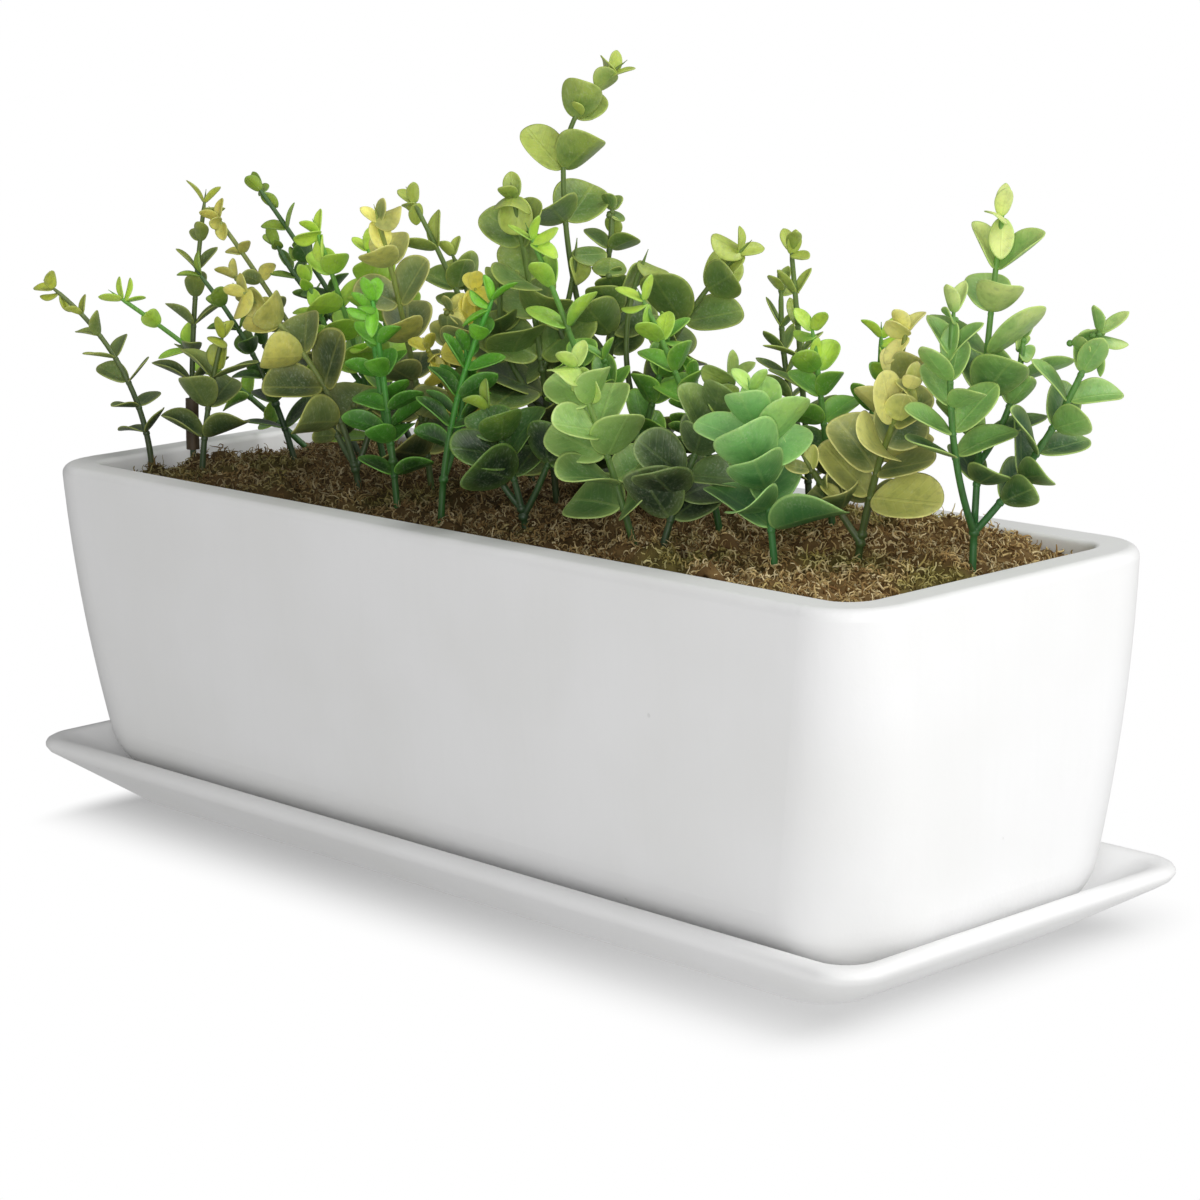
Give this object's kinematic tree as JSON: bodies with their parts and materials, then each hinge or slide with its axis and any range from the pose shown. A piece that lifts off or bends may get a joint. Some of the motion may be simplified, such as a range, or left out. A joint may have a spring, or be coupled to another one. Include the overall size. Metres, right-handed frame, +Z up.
{
  "type": "indoor herb planter",
  "caption": "Long white ceramic trough planter with rounded corners, standing in a flared drip saucer and planted with artificial leafy sprigs in foam under dried moss.",
  "frame": {"origin": "centre of the saucer's underside, on the surface it stands on", "axes": "+X along the planter's length, +Y from the front to the back, +Z up"},
  "size_m": [0.3164, 0.1164, 0.2043],
  "materials": {
    "white_ceramic": "matte white, slightly uneven",
    "dry_foam": "dry floral foam",
    "dried_moss": "curly dried moss, brown with olive patches",
    "sleeve_brown": "moulded",
    "stem_green": "moulded, semi-matte",
    "leaf_olive": "moulded, semi-matte with pale bloom",
    "leaf_dark_green": "moulded, semi-matte with pale bloom",
    "leaf_bright_green": "moulded, semi-matte with pale bloom",
    "leaf_yellow": "moulded, semi-matte with pale bloom",
    "leaf_pale_green": "moulded, semi-matte with pale bloom"
  },
  "bodies": {
    "saucer": {"saucer": "white_ceramic"},
    "pot": {"pot": "white_ceramic"},
    "planting": {"foam_block": "dry_foam", "moss_bed": "dried_moss", "stem_sleeve": "sleeve_brown", "sprig_01_stem": "stem_green", "sprig_01_leaves": "leaf_olive", "sprig_02_stem": "stem_green", "sprig_02_leaves": "leaf_olive", "sprig_03_stem": "stem_green", "sprig_03_leaves": "leaf_bright_green", "sprig_04_stem": "stem_green", "sprig_04_leaves": "leaf_dark_green", "sprig_05_stem": "stem_green", "sprig_05_leaves": "leaf_dark_green", "sprig_06_stem": "stem_green", "sprig_06_leaves": "leaf_olive", "sprig_07_stem": "stem_green", "sprig_07_leaves": "leaf_dark_green", "sprig_08_stem": "stem_green", "sprig_08_leaves": "leaf_olive", "sprig_09_stem": "stem_green", "sprig_09_leaves": "leaf_bright_green", "sprig_10_stem": "stem_green", "sprig_10_leaves": "leaf_olive", "sprig_11_stem": "stem_green", "sprig_11_leaves": "leaf_bright_green", "sprig_12_stem": "stem_green", "sprig_12_leaves": "leaf_bright_green", "sprig_13_stem": "stem_green", "sprig_13_leaves": "leaf_yellow", "sprig_14_stem": "stem_green", "sprig_14_leaves": "leaf_bright_green", "sprig_15_stem": "stem_green", "sprig_15_leaves": "leaf_bright_green", "sprig_16_stem": "stem_green", "sprig_16_leaves": "leaf_pale_green", "sprig_17_stem": "stem_green", "sprig_17_leaves": "leaf_dark_green", "sprig_18_stem": "stem_green", "sprig_18_leaves": "leaf_dark_green", "sprig_19_stem": "stem_green", "sprig_19_leaves": "leaf_yellow", "sprig_20_stem": "stem_green", "sprig_20_leaves": "leaf_pale_green", "sprig_21_stem": "stem_green", "sprig_21_leaves": "leaf_bright_green", "sprig_22_stem": "stem_green", "sprig_22_leaves": "leaf_dark_green", "sprig_23_stem": "stem_green", "sprig_23_leaves": "leaf_pale_green", "sprig_24_stem": "stem_green", "sprig_24_leaves": "leaf_bright_green", "sprig_25_stem": "stem_green", "sprig_25_leaves": "leaf_bright_green", "sprig_26_stem": "stem_green", "sprig_26_leaves": "leaf_yellow", "sprig_27_stem": "stem_green", "sprig_27_leaves": "leaf_pale_green"}
  },
  "joints": [
    {"name": "pot_lift", "type": "slide", "parent": "saucer", "child": "pot", "axis": [0, 0, 1], "range_m": [0, 0.1]},
    {"name": "planting_lift", "type": "slide", "parent": "pot", "child": "planting", "axis": [0, 0, 1], "range_m": [0, 0.1]}
  ]
}
